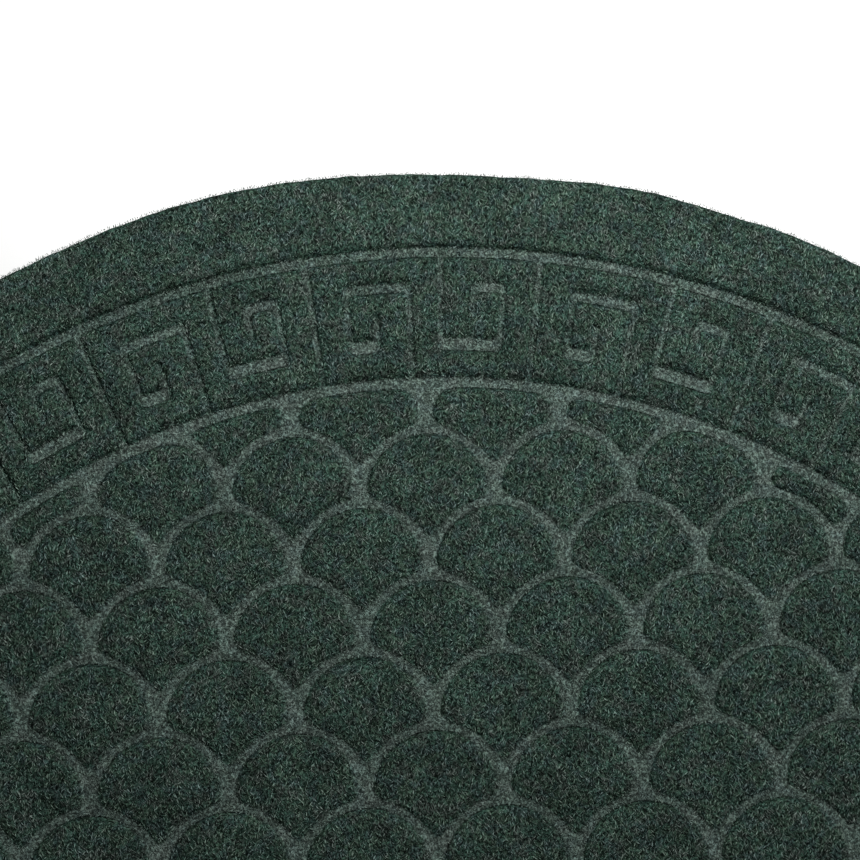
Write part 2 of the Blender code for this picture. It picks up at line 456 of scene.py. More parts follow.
@dataclass(frozen=True)
class WallProfile:
    """The section of a pressed line's side, from its floor up over the shoulder of the land.

    A land's edge is crisp where it looks up to the crown, with a narrow crease along its foot, and rolls
    off softly where it looks to the straight edge. The crease is painted darker than the line's floor, as
    painted shade. The scales roll off more gently still, and their flanks that look right are painted
    paler, as painted light. The uprights are shallow, with a crease on their right that is painted darker,
    as painted shade, and the rim falls steeply to the outer line.
    """

    backs: tuple[float, ...] = in_mm(-0.60, -0.34, -0.04, 0.16, 0.48, 1.05, 1.85, 2.90, 3.90)
    # The crisp side's crease gets little pressing, so it is painted darker than the line's floor: painted
    # shade in the crease
    crisp: Side = Side(
        in_mm(0.05, -0.30, -0.45, 0.50, 1.00, 1.28, 1.52, 1.66, 1.70),
        (1.0, 0.55, 0.15, 0.10, 0.05, 0.0, 0.0, 0.0, 0.0),
    )
    soft: Side = Side(
        in_mm(0.0, 0.0, 0.04, 0.22, 0.40, 0.68, 1.02, 1.42, 1.70),
        (1.0, 1.0, 1.0, 0.7, 0.2, 0.0, 0.0, 0.0, 0.0),
    )
    gentle: Side = Side(in_mm(0.55, 0.58, 0.66, 0.80, 0.94, 1.12, 1.32, 1.54, 1.70), soft.pressed)
    # Flanks of the scales that look right keep much of the line's paleness up their slope: painted light on
    # the flanks that face the key light
    painted_lit_flank: Side = Side(gentle.lifts, (1.0, 1.0, 0.9, 0.75, 0.6, 0.45, 0.3, 0.12, 0.0))
    rim: Side = Side(
        in_mm(0.0, 0.0, 0.0, 0.12, 0.36, 0.92, 1.46, 1.66, 1.70),
        (1.0, 1.0, 1.0, 0.7, 0.15, 0.0, 0.0, 0.0, 0.0),
    )
    upright_open: Side = Side(
        in_mm(0.52, 0.50, 0.57, 0.76, 1.00, 1.26, 1.48, 1.64, 1.70),
        (0.62, 0.60, 0.54, 0.4, 0.15, 0.0, 0.0, 0.0, 0.0),
    )
    # The creased side of an upright gets less pressing near its foot: painted shade along that edge
    upright_creased: Side = Side(
        in_mm(0.52, 0.43, 0.41, 0.69, 1.04, 1.33, 1.53, 1.66, 1.70),
        (0.62, 0.45, 0.15, 0.0, 0.0, 0.0, 0.0, 0.0, 0.0),
    )
    # Crisp edges look to a spot that lies this far above them, and this far left of the middle
    reach: float = 0.22
    lean: float = 0.08
    # How squarely the softest and the crispest edges look to it, where 1 is straight at it
    softest: float = -0.35
    crispest: float = 0.60

    def crispness(self, place: Vector, out: Vector) -> float:
        """Finds how crisp an edge is, from 0 to 1, by its place and the direction out of the land there."""
        looks = out.dot(Vector((-place.x - self.lean, self.reach)).normalized())
        return eased(min(max((looks - self.softest) / (self.crispest - self.softest), 0.0), 1.0))

    def side_shares(self, place: Vector, out: Vector, gentle: bool) -> list[tuple[Side, float]]:
        """Finds which sides a land's edge is blended from.

        Args:
            place: a point of the edge, about the arcs' centre.
            out: the direction out of the land there.
            gentle: whether the land is a scale.

        Returns:
            The sides and their shares, which make up 1.
        """
        crisp = self.crispness(place, out)
        if not gentle:
            return [(self.crisp, crisp), (self.soft, 1 - crisp)]
        # Flanks that look right take the painted light of the lit flank
        right = max(out.x, 0.0) ** 2
        crisp *= 1 - right
        return [(self.crisp, crisp), (self.painted_lit_flank, right), (self.gentle, 1 - crisp - right)]

    def upright_side(self, place: Vector, out: Vector) -> Side:
        """Picks the side of an upright, creased where the land looks back anticlockwise round the band."""
        return self.upright_creased if out.x * place.y - out.y * place.x < 0 else self.upright_open

    def risen(self, level: int, shares: list[tuple[Side, float]]) -> Span:
        """Blends sides at a level: the height over the floor, and how far the felt is pressed."""
        lift = sum(side.lifts[level] * share for side, share in shares)
        return lift, sum(side.pressed[level] * share for side, share in shares)


@dataclass
class FeltSheet:
    """The mat's sheet: its cut edge, its underside and the pattern pressed into its upper face."""

    low: Vector
    high: Vector
    outline: CutOutline = field(default_factory=CutOutline)
    key: KeyCell = field(default_factory=KeyCell)
    scale: FishScale = field(default_factory=FishScale)
    wall: WallProfile = field(default_factory=WallProfile)
    rim: float = 32.3 * MM
    band: float = 51.5 * MM
    arc_line: float = 3.9 * MM
    line_corner: float = 3.5 * MM
    line_fineness: Fineness = (300, 6, 100)
    first_apex_drop: float = 18.6 * MM
    partial_rows: int = 2
    # How much less pale the lines are made on the outer line than on the inner one
    outer_fade: float = 0.38
    # How far the uprights are pressed at the inner line, as a share of the outer one
    inner_uprights: float = 0.55
    # How far the press stood off the middle of the sheet
    press_shift: Span = (0.9 * MM, -0.3 * MM)
    # How far the cut edge bulges at half its height
    bulge: float = 0.5 * MM
    # The cut edge's section from the underside up: how far in from the bulge, and how far below the face
    edge_section: tuple[Span, ...] = (
        (0.85 * MM, 7.0 * MM), (0.3 * MM, 6.3 * MM), (0.0, 4.4 * MM), (0.05 * MM, 2.4 * MM),
        (0.4 * MM, 1.2 * MM), (0.95 * MM, 0.5 * MM), (1.75 * MM, 0.12 * MM), (3.0 * MM, 0.0),
    )
    # How far the face lies below the top of the solid
    nap_room: float = 0.2 * MM

    def __post_init__(self) -> None:
        """Works out the places of the lines from the driving sizes."""
        self.face = self.high.z - self.nap_room
        self.floor = self.face - self.wall.soft.lifts[-1]
        self.outer_line = self.outline.radius - self.rim
        self.inner_line = self.outer_line - self.band
        middle = (self.outer_line + self.inner_line) / 2
        self.cell_width = middle * self.key.period
        self.straight_line = middle * math.sin((math.pi - self.key.cells * self.key.period) / 2)

    def cell_line(self, index: int, radius: float) -> float:
        """Finds the angle of the line before a cell. The two end lines run along the straight line."""
        end = math.copysign(math.acos(self.straight_line / radius), index - 0.5)
        return end if index in (0, self.key.cells) else (index - self.key.cells / 2) * self.key.period

    def bent(self, index: int, loop: Loop) -> Loop:
        """Bends a cell's straight layout round to its place in the band.

        Args:
            index: the cell's number, from the left.
            loop: the layout's points.

        Returns:
            The points in the band.
        """
        placed = []
        for point in loop:
            radius = self.inner_line + point.y
            before = self.cell_line(index, radius)
            after = self.cell_line(index + 1, radius)
            placed.append(on_arc(radius, before + (after - before) * point.x / self.cell_width))
        return placed

    def shaped(self, loops: list[Loop], beside: Sequence[list[float]] = (),
               gentle: bool = False) -> list[Wall]:
        """Lifts the loops of a pressed line's side by its section.

        Args:
            loops: the flat loops, one for each level from the foot up, with the land inside them.
            beside: for each level, how far each point belongs to an upright.
            gentle: whether the land is a scale.

        Returns:
            The loops in space.
        """
        foot = loops[0]
        runs = [foot[(k + 1) % len(foot)] - foot[k - 1] for k in range(len(foot))]
        outs = [Vector((run.y, -run.x)).normalized() for run in runs]
        blends = [self.wall.side_shares(place, out, gentle) for place, out in zip(foot, outs)]
        uprights = [self.wall.upright_side(place, out) for place, out in zip(foot, outs)]
        found = []
        for level, loop in enumerate(loops):
            shares = beside[level] if beside else [0.0] * len(loop)
            wall = []
            for place, blend, upright, share in zip(loop, blends, uprights, shares):
                lift, pressed = self.wall.risen(level, blend)
                outer = min(max(place.length - self.inner_line, 0.0) / self.band, 1.0)
                pressed *= 1 - self.outer_fade * outer
                marked = self.inner_uprights + (1 - self.inner_uprights) * outer
                lift += (upright.lifts[level] - lift) * share
                pressed += (upright.pressed[level] * marked - pressed) * share
                wall.append(self.pressed_in(place, lift, pressed))
            found.append(wall)
        return found

    def pressed_in(self, place: Vector, lift: float, pressed: float) -> WallPoint:
        """Puts a wall's point where the press stood, at its height over the floor of the lines."""
        across, up = self.press_shift
        return WallPoint(Vector((place.x + across, place.y + up, self.floor + lift)), pressed)

    def key_lands(self) -> Iterator[list[Wall]]:
        """Draws the key band's lands.

        Yields:
            The loops of one cell's land, from its foot up.
        """
        sizes = (self.cell_width, self.band, self.arc_line)
        runs = self.key.runs(self.key.outline(*sizes, 0.0))
        backs = [back * self.key.squeeze if back > 0 else back for back in self.wall.backs]
        straight = [self.key.rounded(self.key.outline(*sizes, back), runs, back) for back in backs]
        beside = [[share for _, share in points] for points in straight]
        for index in range(self.key.cells):
            loops = [self.bent(index, [point for point, _ in points]) for points in straight]
            yield self.shaped(loops, beside=beside)

    def scale_depth(self, point: Vector, apex: Vector) -> float:
        """Finds how deep a point lies in the land of a scale. The blend rounds the land's corners.

        Args:
            point: the point.
            apex: the top of the scale.

        Returns:
            The depth, which is negative outside.
        """
        scale = self.scale
        middle = apex - Vector((0, scale.arc))
        half = scale.line / 2
        depths = [scale.arc - half - (point - middle).length]
        for side in (-1, 1):
            below = middle + Vector((side * scale.pitch / 2, -scale.row))
            depths.append((point - below).length - scale.arc - half)
        depths.append(self.inner_line - self.arc_line / 2 - point.length)
        depths.append(point.y - self.straight_line - self.arc_line / 2)
        return -scale.blend * math.log(sum(math.exp(-depth / scale.blend) for depth in depths))

    def scale_apexes(self) -> Iterator[Vector]:
        """Places the scales.

        Yields:
            The apex of each scale that can reach the field inside the band.
        """
        first = self.inner_line - self.first_apex_drop
        rows = range(-self.partial_rows, math.ceil(first / self.scale.row) + 1)
        columns = math.ceil(self.inner_line / self.scale.pitch) + 1
        for row in rows:
            for column in range(-columns, columns + 1):
                across = (column + (row % 2) / 2) * self.scale.pitch
                yield Vector((across, first - row * self.scale.row))

    def scale_lands(self) -> Iterator[list[Wall]]:
        """Draws the fish scales' lands.

        Yields:
            The loops of one scale's land, from its foot up.
        """
        scale = self.scale
        for apex in self.scale_apexes():
            def depth(point: Vector) -> float:
                """Gives a point's depth in this scale's land."""
                return self.scale_depth(point, apex)

            start = scale.deepest(apex, depth)
            room = depth(start)
            if room < scale.least_land:
                continue
            shrink = min(1.0, scale.slope_room * room / self.wall.backs[-1])
            rays = [on_arc(1.0, -angle) for angle in steps(0, 2 * math.pi, scale.rays)[:-1]]
            feet = [start + ray * scale.reached(start, ray, 0.0, 0.0, depth) for ray in rays]
            rays = [rays[k] for k in scale.kept(feet)]
            travels = [0.0] * len(rays)
            loops = []
            for back in reversed(self.wall.backs):
                level = back * shrink if back > 0 else back
                travels = [
                    scale.reached(start, ray, travel, level, depth) for ray, travel in zip(rays, travels)
                ]
                loops.append([start + ray * travel for ray, travel in zip(rays, travels)])
            yield self.shaped(loops[::-1], gentle=True)

    def rim_loops(self) -> list[Wall]:
        """Draws the inner side of the rim.

        Returns:
            Its loops, from the foot of the wall up to the rim's face.
        """
        half = self.arc_line / 2
        side = self.wall.rim
        loops = []
        for back, lift, pressed in zip(self.wall.backs, side.lifts, side.pressed):
            radius = self.outer_line + half + back
            base = self.straight_line - half - back
            loop = half_round(radius, base, self.line_corner + back, self.line_fineness)
            loops.append([self.pressed_in(place, lift, pressed * (1 - self.outer_fade)) for place in loop])
        return loops

    def edge_loops(self) -> list[Wall]:
        """Draws the cut edge.

        Returns:
            Its loops, from the underside up to the rim's face.
        """
        loops = []
        for back, drop in self.edge_section:
            height = max(self.face - drop, 0.0)
            loop = self.outline.loop(back - self.bulge)
            loops.append([WallPoint(Vector((point.x, point.y, height)), 0.0) for point in loop])
        return loops

    def ringed(self, mesh: BMesh, walls: list[list]) -> list[list]:
        """Finds or makes the edges round each closed row of vertices."""
        pairs = [[(wall[k - 1], wall[k]) for k in range(len(wall))] for wall in walls]
        return [[mesh.edges.get(pair) or mesh.edges.new(pair) for pair in ring] for ring in pairs]

    def add_walls(self, mesh: BMesh, lands: Sequence[list[Wall]]) -> tuple[list, list]:
        """Draws walls up through their loops, each level extruded from the one below it.

        Args:
            mesh: the sheet's mesh.
            lands: for each wall its closed loops, all of as many points, from the first level up.

        Returns:
            The rings of edges of the first level and those of the last one.
        """
        walls = [[mesh.verts.new(point.place) for point in loops[0]] for loops in lands]
        first = self.ringed(mesh, walls)
        rings = first
        marks = mesh.verts.layers.float["pressed"]
        for level in range(len(lands[0])):
            if level:
                below = [edge for ring in rings for edge in ring]
                made = bmesh.ops.extrude_edge_only(mesh, edges=below)["geom"]
                drawn = {item for item in made if isinstance(item, BMVert)}
                walls = [[self.drawn_from(vert, drawn) for vert in wall] for wall in walls]
            for wall, loops in zip(walls, lands):
                for vert, point in zip(wall, loops[level]):
                    vert.co = point.place
                    vert[marks] = point.pressed
            rings = self.ringed(mesh, walls) if level else first
        return first, rings

    def drawn_from(self, vert: BMVert, drawn: set) -> BMVert:
        """Finds the vertex that was extruded from this one, among those just drawn."""
        return next(end for end in (edge.other_vert(vert) for edge in vert.link_edges) if end in drawn)

    def fill(self, mesh: BMesh, rings: list[list]) -> None:
        """Fills the flat face between rings of edges."""
        edges = [edge for ring in rings for edge in ring]
        bmesh.ops.triangle_fill(mesh, use_beauty=True, use_dissolve=False, edges=edges, normal=(0, 0, 1))

    def build(self) -> BMesh:
        """Makes the sheet's mesh, closed and facing out.

        Returns:
            The mesh, in its place on the floor.
        """
        mesh = bmesh.new()
        mesh.verts.layers.float.new("pressed")
        underside, brim = self.add_walls(mesh, [self.edge_loops()])
        feet, tops = self.add_walls(mesh, [self.rim_loops(), *self.key_lands(), *self.scale_lands()])
        for face in mesh.faces:
            face.smooth = True
        for rings in (underside, [*brim, tops[0]], feet, *([top] for top in tops[1:])):
            self.fill(mesh, rings)
        bmesh.ops.recalc_face_normals(mesh, faces=mesh.faces)
        bmesh.ops.translate(mesh, vec=(0, self.low.y, 0), verts=mesh.verts)
        return mesh

    def piece(self, mesh: BMesh, material: Material) -> Object:
        """Makes the sheet's piece, in place of the solid.

        Args:
            mesh: the sheet's mesh, which is freed.
            material: its material.

        Returns:
            The piece.
        """
        data = bpy.data.meshes.new("felt_sheet")
        mesh.to_mesh(data)
        mesh.free()
        cloth = dressed("felt_sheet", data, material)
        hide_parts(NODE)
        return cloth


class Ground:
    """The sheet as the strands find it from above."""

    # How far over the mat's face they are looked for from
    height: float = 5 * MM

    def __init__(self, mesh: BMesh, face: float) -> None:
        """Keeps the sheet's faces.

        Args:
            mesh: the sheet's mesh.
            face: the height of its upper face.
        """
        marks = mesh.verts.layers.float["pressed"]
        self.top = face + self.height
        self.tree = BVHTree.FromBMesh(mesh)
        self.corners = [[vert.co.copy() for vert in face.verts] for face in mesh.faces]
        self.marks = [[vert[marks] for vert in face.verts] for face in mesh.faces]

    def hits(self, places: np.ndarray) -> Iterator[tuple[Vector | None, int | None]]:
        """Looks straight down on places.

        Args:
            places: rows of x and y, in the frame.

        Yields:
            For each place the point of the sheet under it and that point's face, or nothing outside.
        """
        for x, y in places.tolist():
            hit, _, face, _ = self.tree.ray_cast(Vector((x, y, self.top)), DOWN)
            yield hit, face

    def heights(self, places: np.ndarray) -> np.ndarray:
        """Finds the sheet's height under places, which is not a number outside the sheet."""
        return np.array([np.nan if hit is None else hit.z for hit, _ in self.hits(places)])

    def heights_or(self, places: np.ndarray, otherwise: np.ndarray) -> np.ndarray:
        """Finds the sheet's height under places, and takes another where they lie outside it."""
        found = self.heights(places)
        return np.where(np.isnan(found), otherwise, found)

    def pressed(self, places: np.ndarray) -> np.ndarray:
        """Finds how far the felt under places is pressed, with the painted light and shade beside the lines.

        Args:
            places: rows of x and y, in the frame.

        Returns:
            From 0 on a land to 1 on the floor of a line.
        """
        found = np.zeros(len(places))
        for number, (hit, face) in enumerate(self.hits(places)):
            if hit is not None and any(self.marks[face]):
                shares = poly_3d_calc(self.corners[face], hit)
                found[number] = sum(share * mark for share, mark in zip(shares, self.marks[face]))
        return np.clip(found, 0.0, 1.0)


@dataclass(frozen=True)
class StrandKind:
    """How the strands of one kind of place are made: spans are least and most."""

    length: Span
    width: Span
    rise: Span
    bow: float
    upright: float
    tint: Span


FACE_STRANDS = StrandKind(
    length=(1.2 * MM, 3.6 * MM), width=(0.12 * MM, 0.21 * MM), rise=(0.15 * MM, 0.50 * MM),
    bow=0.16, upright=0.36, tint=(0.30, 2.30),
)
LINE_STRANDS = StrandKind(
    length=(0.9 * MM, 2.4 * MM), width=(0.12 * MM, 0.22 * MM), rise=(0.10 * MM, 0.32 * MM),
    bow=0.14, upright=0.40, tint=(0.35, 2.10),
)

# The corners of a strand are its two ends and the left and right of its crest
STRAND_FACES = np.array([(0, 3, 2), (1, 2, 3), (0, 2, 1), (0, 1, 3)])
# Where a strand's corners lie in its own square of the map for baking, so that strands don't share colours
MAP_CORNERS = np.array([(0.1, 0.5), (0.9, 0.5), (0.5, 0.9), (0.5, 0.1)])
MAP_NAME = "OFBake"


@dataclass(frozen=True)
class Strands:
    """Many strands: four corners for each, its tint, and its pressing, with painted light and shade."""

    corners: np.ndarray
    tints: np.ndarray
    pressed: np.ndarray

    def piece(self, name: str, material: Material) -> Object:
        """Joins the strands into one piece, with tints and pressing, painted light and shade, as attributes.

        Args:
            name: the piece's name.
            material: its material.

        Returns:
            The piece.
        """
        count, sides, _ = self.corners.shape
        faces = (np.arange(count)[:, None, None] * sides + STRAND_FACES).reshape(-1, 3)
        data = bpy.data.meshes.new(name)
        data.vertices.add(count * sides)
        data.vertices.foreach_set("co", self.corners.astype(np.float32).ravel())
        data.loops.add(faces.size)
        data.loops.foreach_set("vertex_index", faces.ravel().astype(np.int32))
        data.polygons.add(len(faces))
        data.polygons.foreach_set("loop_start", np.arange(len(faces), dtype=np.int32) * 3)
        data.update(calc_edges=True)
        data.shade_smooth()
        for label, values in (("tint", self.tints), ("pressed", self.pressed)):
            shade = data.attributes.new(label, "FLOAT", "POINT")
            shade.data.foreach_set("value", np.repeat(values, sides).astype(np.float32))
        across = math.ceil(math.sqrt(count))
        squares = np.stack([np.arange(count) % across, np.arange(count) // across], axis=1)
        spots = ((squares[:, None, :] + MAP_CORNERS) / across).reshape(-1, 2)[faces.ravel()]
        data.uv_layers.new(name=MAP_NAME).uv.foreach_set("vector", spots.astype(np.float32).ravel())
        return dressed(name, data, material)


@dataclass
class Nap:
    """The felt's nap: short bent strands that lie over the sheet, each with its ends buried in it."""

    sheet: FeltSheet
    spacing: float = 1.08 * MM
    seed: int = 41
    # How far from the edge of the face the strands' middles stay
    margin: float = 0.6 * MM
    # How far the middle zone reaches to each side, as a share of the field's radius
    middle_share: float = 0.27
    root_depth: float = 0.12 * MM
    # A strand lies on a step of the sheet where its ends differ by more than this in height
    most_step: float = 0.9 * MM
    # There it keeps this share of its length and slides by this share of half of that. Where its ends
    # still differ as much, this share of the strands stays and bridges the step
    shortened: float = 0.5
    slide: float = 0.6
    bridging: float = 0.3
    overhang_drop: float = 0.5 * MM

    def places(self) -> np.ndarray:
        """Spreads the strands' middles over the face, one in each square of a fine grid.

        Returns:
            The places as rows of x and y, about the arcs' centre.
        """
        rng = np.random.default_rng(self.seed)
        radius = self.sheet.outline.radius
        across = np.arange(-radius, radius, self.spacing)
        up = np.arange(0.0, radius, self.spacing)
        grid = np.stack(np.meshgrid(across, up), axis=-1).reshape(-1, 2)
        grid = grid + rng.uniform(0, self.spacing, grid.shape)
        inside = np.hypot(grid[:, 0], grid[:, 1]) < radius - self.margin
        return grid[inside & (grid[:, 1] > self.margin)]

    def zone_of(self, places: np.ndarray) -> dict[Zone, np.ndarray]:
        """Sorts places by the zone that they lie in.

        Args:
            places: rows of x and y, about the arcs' centre.

        Returns:
            A mask of the places for each zone.
        """
        sheet = self.sheet
        away = np.hypot(places[:, 0], places[:, 1])
        rim = (away > sheet.outer_line) | (places[:, 1] < sheet.straight_line)
        band = ~rim & (away > sheet.inner_line)
        scales = ~rim & ~band
        third = sheet.inner_line * self.middle_share
        left = places[:, 0] < -third
        right = places[:, 0] > third
        return {
            Zone.RIM: rim,
            Zone.KEY_BAND: band,
            Zone.SCALES_LEFT: scales & left,
            Zone.SCALES_MIDDLE: scales & ~left & ~right,
            Zone.SCALES_RIGHT: scales & right,
        }

    def strands(self, ground: Ground, places: np.ndarray, seed: int) -> Strands:
        """Makes the strands over these places.

        Args:
            ground: the sheet from above.
            places: the strands' middles, as rows of x and y in the frame.
            seed: the seed of their random draws.

        Returns:
            The strands.
        """
        rng = np.random.default_rng(seed)
        middle_z = ground.heights(places)
        places = places[~np.isnan(middle_z)]
        middle_z = middle_z[~np.isnan(middle_z)]
        count = len(places)
        in_line = rng.random(count) < ground.pressed(places)
        values = {}
        for name in ("length", "width", "rise", "tint"):
            on_face = rng.uniform(*getattr(FACE_STRANDS, name), count)
            on_line = rng.uniform(*getattr(LINE_STRANDS, name), count)
            values[name] = np.where(in_line, on_line, on_face)
        upright = np.where(in_line, LINE_STRANDS.upright, FACE_STRANDS.upright)
        bow = np.where(in_line, LINE_STRANDS.bow, FACE_STRANDS.bow)
        spread = rng.uniform(-math.pi / 2, math.pi / 2, count)
        angle = math.pi / 2 + spread * (1 - upright)
        along = np.stack([np.cos(angle), np.sin(angle)], axis=1)
        side = np.stack([-along[:, 1], along[:, 0]], axis=1)
        half = values["length"][:, None] / 2
        bend = (bow * rng.uniform(-1, 1, count) * values["length"])[:, None]
        sunk = middle_z - self.overhang_drop
        ends_z = [ground.heights_or(places + along * half * way, sunk) for way in (-1, 1)]
        higher = np.where(ends_z[1] > ends_z[0], 1, -1)
        own = np.where(middle_z > (ends_z[0] + ends_z[1]) / 2, higher, -higher)
        stepped = np.abs(ends_z[0] - ends_z[1]) > self.most_step
        half = half * np.where(stepped, self.shortened, 1.0)[:, None]
        places = places + along * half * (own * stepped * self.slide)[:, None]
        middle_z = ground.heights_or(places, sunk)
        ends = [places - along * half, places + along * half]
        ends_z = [ground.heights_or(end, middle_z - self.overhang_drop) for end in ends]
        step = np.abs(ends_z[0] - ends_z[1])
        keep = (step < self.most_step) | (rng.random(count) < self.bridging)
        crest = places + side * bend
        width = values["width"][:, None] / 2
        base = np.maximum(middle_z, (ends_z[0] + ends_z[1]) / 2)
        corners = np.empty((count, 4, 3))
        for k in (0, 1):
            corners[:, k, :2] = ends[k]
            corners[:, k, 2] = ends_z[k] - self.root_depth
            corners[:, 2 + k, :2] = crest + side * width * (1 - 2 * k)
            corners[:, 2 + k, 2] = base + values["rise"]
        pressed = ground.pressed(places)
        return Strands(corners[keep], values["tint"][keep], pressed[keep])

    def pieces(self, ground: Ground, material: Material) -> list[Object]:
        """Makes the nap of each zone.

        Args:
            ground: the sheet from above.
            material: the nap's material.

        Returns:
            The pieces.
        """
        places = self.places()
        made = []
        for number, (zone, mask) in enumerate(self.zone_of(places).items()):
            spots = places[mask] + np.array([0.0, self.sheet.low.y])
            strands = self.strands(ground, spots, self.seed + 1 + number)
            made.append(strands.piece(f"nap_{zone.value}", material))
        return made


@dataclass
class EdgeFuzz:
    """Loose fibre ends round the cut edge, each rooted in the edge and standing out of it."""

    sheet: FeltSheet
    spacing: float = 0.13 * MM
    seed: int = 73
    root_depth: float = 0.25 * MM
    reach: Span = (0.25 * MM, 1.20 * MM)
    slant: float = 0.7 * MM
    droop: float = 0.5 * MM
    width: Span = (0.15 * MM, 0.30 * MM)
    thickness: float = 0.06 * MM
    # How far a fibre's flat side is rolled from level
    roll: float = 0.4
    tint: Span = (0.45, 1.60)
    # How far the roots stay off the floor and below the face
    clearance: float = 0.1 * MM
    top_gap: float = 0.4 * MM

    def roots(self, rng: np.random.Generator) -> tuple[np.ndarray, np.ndarray]:
        """Spreads the fibres' roots along the cut edge.

        Args:
            rng: draws where each one lies in its stretch.

        Returns:
            The roots and the directions out of the edge there, as rows of x and y.
        """
        loop = np.array(self.sheet.outline.loop(-self.sheet.bulge))
        runs = np.roll(loop, -1, axis=0) - loop
        lengths = np.hypot(runs[:, 0], runs[:, 1])
        ends = np.cumsum(lengths)
        count = int(ends[-1] / self.spacing)
        along = (np.arange(count) + rng.random(count)) * self.spacing
        number = np.minimum(np.searchsorted(ends, along), len(loop) - 1)
        share = 1 - (ends[number] - along) / lengths[number]
        unit = runs[number] / lengths[number][:, None]
        return loop[number] + runs[number] * share[:, None], np.stack([unit[:, 1], -unit[:, 0]], axis=1)

    def strands(self) -> Strands:
        """Makes the fibres.

        Returns:
            The fibres, in their places in the frame.
        """
        rng = np.random.default_rng(self.seed)
        roots, out = self.roots(rng)
        count = len(roots)
        flat = np.zeros((count, 1))
        lowest = self.clearance + self.width[1]
        height = rng.uniform(lowest, self.sheet.face - self.top_gap, (count, 1))
        root = np.hstack([roots - out * self.root_depth, height])
        outward = np.hstack([out, flat])
        sideways = np.hstack([-out[:, 1:], out[:, :1], flat])
        far = self.root_depth + rng.uniform(*self.reach, (count, 1))
        tip = root + outward * far + sideways * rng.uniform(-self.slant, self.slant, (count, 1))
        tip[:, 2:] = np.maximum(tip[:, 2:] + rng.uniform(-self.droop, self.droop, (count, 1)), lowest)
        along = tip - root
        along /= np.linalg.norm(along, axis=1)[:, None]
        up = np.cross(along, sideways + np.array([0.0, 0.0, self.roll]))
        up /= np.linalg.norm(up, axis=1)[:, None]
        side = np.cross(up, along)
        crest = (root + tip) / 2 + up * self.thickness
        half = rng.uniform(*self.width, (count, 1)) / 2
        corners = np.stack([root, tip, crest + side * half, crest - side * half], axis=1)
        corners += np.array([0.0, self.sheet.low.y, 0.0])
        return Strands(corners, rng.uniform(*self.tint, count), np.zeros(count))


Inputs = dict[int | str, object]


@dataclass(frozen=True)
class Patches:
    """A noise spread to a range: its waves for each metre, its levels, and the results at those."""

    waves: float
    levels: Span
    results: Span
    detail: float = 2.0
    offset: float = 0.0
    distortion: float = 0.0


class NodeTree:
    """A few short ways to add and join shader nodes."""

    # How far a noise's offset moves it along Y, as a share of how far it moves it along X
    offset_slant: float = 0.7

    def __init__(self, tree: ShaderNodeTree) -> None:
        """Keeps the tree that the nodes are added to."""
        self.tree = tree

    def feed(self, node: Node, inputs: Inputs) -> None:
        """Sets or links a node's inputs.

        Args:
            node: the node.
            inputs: a value or an output for each input, by its name or number.
        """
        for label, value in inputs.items():
            if isinstance(value, NodeSocket):
                self.tree.links.new(value, node.inputs[label])
            else:
                node.inputs[label].default_value = value

    def add(self, kind: str, inputs: Inputs | None = None, **settings: object) -> Node:
        """Adds a node.

        Args:
            kind: the node's type.
            inputs: what its inputs are fed, if anything.
            settings: its properties.

        Returns:
            The node.
        """
        node = self.tree.nodes.new(kind)
        for name, value in settings.items():
            setattr(node, name, value)
        self.feed(node, inputs or {})
        return node

    def mark(self, name: str) -> NodeSocket:
        """Reads an attribute of the mesh."""
        return self.add("ShaderNodeAttribute", attribute_name=name).outputs["Fac"]

    def math(self, operation: str, first: object, second: object = 0.0) -> NodeSocket:
        """Adds a Math node on two values or outputs."""
        return self.add("ShaderNodeMath", {0: first, 1: second}, operation=operation).outputs[0]

    def noise(self, waves: float, detail: float, offset: float, distortion: float = 0.0,
              stretch: Place = (1.0, 1.0, 1.0)) -> NodeSocket:
        """Adds a Noise Texture on the object's own coordinates.

        Args:
            waves: its scale, in waves for each metre.
            detail: its detail.
            offset: how far it is moved, in metres.
            distortion: its distortion.
            stretch: the scale along each axis.

        Returns:
            Its value.
        """
        own = self.add("ShaderNodeTexCoord").outputs["Object"]
        moved = {"Vector": own, "Location": (offset, offset * self.offset_slant, 0.0), "Scale": stretch}
        place = self.add("ShaderNodeMapping", moved).outputs[0]
        inputs = {"Vector": place, "Scale": waves, "Detail": detail, "Distortion": distortion}
        return self.add("ShaderNodeTexNoise", inputs).outputs[0]

    def ranged(self, value: object, levels: Span, results: Span) -> NodeSocket:
        """Adds a smooth Map Range, which turns the two levels of a value into the two results."""
        inputs = dict(enumerate((value, *levels, *results)))
        return self.add("ShaderNodeMapRange", inputs, interpolation_type="SMOOTHSTEP").outputs[0]

    def patches(self, kind: Patches, moved: float = 0.0) -> NodeSocket:
        """Adds a noise spread to a range, moved by its own offset and by this much more."""
        noise = self.noise(kind.waves, kind.detail, kind.offset + moved, kind.distortion)
        return self.ranged(noise, kind.levels, kind.results)

    def mixed(self, share: object, first: object, second: object, blend: str = "MIX") -> NodeSocket:
        """Adds a Mix node for colours, which lays a share of the second one over the first."""
        inputs = {0: share, 6: first, 7: second}
        return self.add("ShaderNodeMix", inputs, data_type="RGBA", blend_type=blend).outputs[2]


def rgba(colour: Colour) -> tuple[float, float, float, float]:
    """Gives a colour with its alpha."""
    return (*colour, 1.0)


